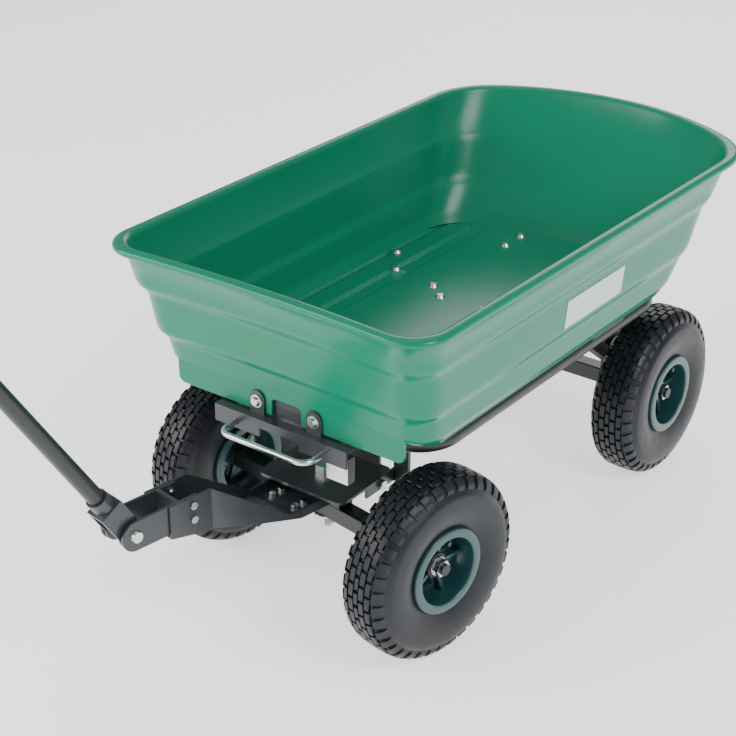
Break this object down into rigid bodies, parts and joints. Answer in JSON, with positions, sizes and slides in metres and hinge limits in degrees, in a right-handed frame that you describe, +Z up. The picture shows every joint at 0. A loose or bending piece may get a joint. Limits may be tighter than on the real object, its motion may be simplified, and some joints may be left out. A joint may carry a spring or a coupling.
{
  "type": "tow behind cart",
  "caption": "Garden dump cart with a moulded tub on a tubular frame, a turntable front axle, pneumatic tyres and a folding-grip pull handle that doubles as a tow fork.",
  "frame": {"origin": "on the ground under the kingpin, which is also the middle of the overall bounding box", "axes": "+Z up, -Y towards the handle (the front), +X to the cart's left"},
  "size_m": [0.52, 1.5521, 0.9583],
  "materials": {
    "tub_poly": "moulded polyethylene, fine grain",
    "label_blank": "blank sticker",
    "frame_black": "black powder coat",
    "steel_grey": "dark grey powder coat",
    "rim_paint": "teal-grey paint",
    "tyre": "moulded rubber",
    "zinc": "zinc plated",
    "bush_plastic": "black nylon",
    "valve_rubber": "black rubber",
    "grip_rubber": "soft black grip"
  },
  "bodies": {
    "chassis": {"chassis_hoop": "frame_black", "cross_members": "frame_black", "front_legs": "frame_black", "front_bolster": "steel_grey", "bolster_bolts": "zinc", "rear_legs": "frame_black", "diagonal_braces": "frame_black", "rear_axle": "frame_black", "rear_axle_fasteners": "zinc", "hinge_ears": "frame_black", "hinge_pin": "zinc", "latch_keeper": "frame_black", "kingpin": "zinc", "kingpin_nut": "zinc", "turntable_disc": "frame_black"},
    "tub": {"tub": "tub_poly", "label_plate": "label_blank", "floor_bolts": "zinc", "hinge_bolts": "zinc", "floor_strap": "frame_black", "tub_hinge_straps": "frame_black", "latch_bracket": "steel_grey", "bail_guide": "steel_grey", "ear_bolts": "zinc", "catch_plate": "zinc"},
    "bail": {"bail": "zinc", "bail_collars": "zinc"},
    "steer": {"front_axle": "frame_black", "front_axle_fasteners": "zinc", "tongue": "steel_grey", "tongue_bolts": "zinc", "axle_block": "frame_black", "turntable_base": "frame_black", "tongue_clevis": "steel_grey", "clevis_pin": "zinc", "clevis_pin_nut": "zinc"},
    "handle": {"handle_yoke": "steel_grey", "handle_tube": "frame_black", "tow_fork": "frame_black", "grip_lug": "frame_black", "grip_pins": "zinc"},
    "grip": {"grip": "grip_rubber"},
    "front_left_wheel": {"front_left_tyre": "tyre", "front_left_rim": "rim_paint", "front_left_bushes": "bush_plastic", "front_left_valve": "valve_rubber"},
    "front_right_wheel": {"front_right_tyre": "tyre", "front_right_rim": "rim_paint", "front_right_bushes": "bush_plastic", "front_right_valve": "valve_rubber"},
    "rear_left_wheel": {"rear_left_tyre": "tyre", "rear_left_rim": "rim_paint", "rear_left_bushes": "bush_plastic", "rear_left_valve": "valve_rubber"},
    "rear_right_wheel": {"rear_right_tyre": "tyre", "rear_right_rim": "rim_paint", "rear_right_bushes": "bush_plastic", "rear_right_valve": "valve_rubber"}
  },
  "joints": [
    {"name": "front_steer", "type": "hinge", "parent": "chassis", "child": "steer", "pos_m": [0, 0, 0.15], "axis": [0, 0, 1], "range_deg": [-31, 49]},
    {"name": "handle_pivot", "type": "hinge", "parent": "steer", "child": "handle", "pos_m": [-0.05159, -0.32574, 0.2335], "axis": [0.9877, -0.1564, 0], "range_deg": [-40, 70]},
    {"name": "grip_fold", "type": "hinge", "parent": "handle", "child": "grip", "pos_m": [-0.1063, -0.67118, 0.79321], "axis": [0.9877, -0.1564, 0], "range_deg": [0, 165]},
    {"name": "tub_dump", "type": "hinge", "parent": "chassis", "child": "tub", "pos_m": [0, 0.602, 0.282], "axis": [-1, 0, 0], "range_deg": [0, 75]},
    {"name": "bail_pull", "type": "slide", "parent": "tub", "child": "bail", "axis": [0, -1, 0], "range_m": [0, 0.009], "stiffness_N_per_m": 1500, "springref_m": -0.004},
    {"name": "front_left_roll", "type": "hinge", "parent": "steer", "child": "front_left_wheel", "pos_m": [0.1926, -0.03051, 0.13], "axis": [0.9877, -0.1564, 0], "continuous": true},
    {"name": "front_right_roll", "type": "hinge", "parent": "steer", "child": "front_right_wheel", "pos_m": [-0.1926, 0.03051, 0.13], "axis": [0.9877, -0.1564, 0], "continuous": true},
    {"name": "rear_left_roll", "type": "hinge", "parent": "chassis", "child": "rear_left_wheel", "pos_m": [0.187, 0.562, 0.13], "axis": [1, 0, 0], "continuous": true},
    {"name": "rear_right_roll", "type": "hinge", "parent": "chassis", "child": "rear_right_wheel", "pos_m": [-0.187, 0.562, 0.13], "axis": [1, 0, 0], "continuous": true}
  ]
}
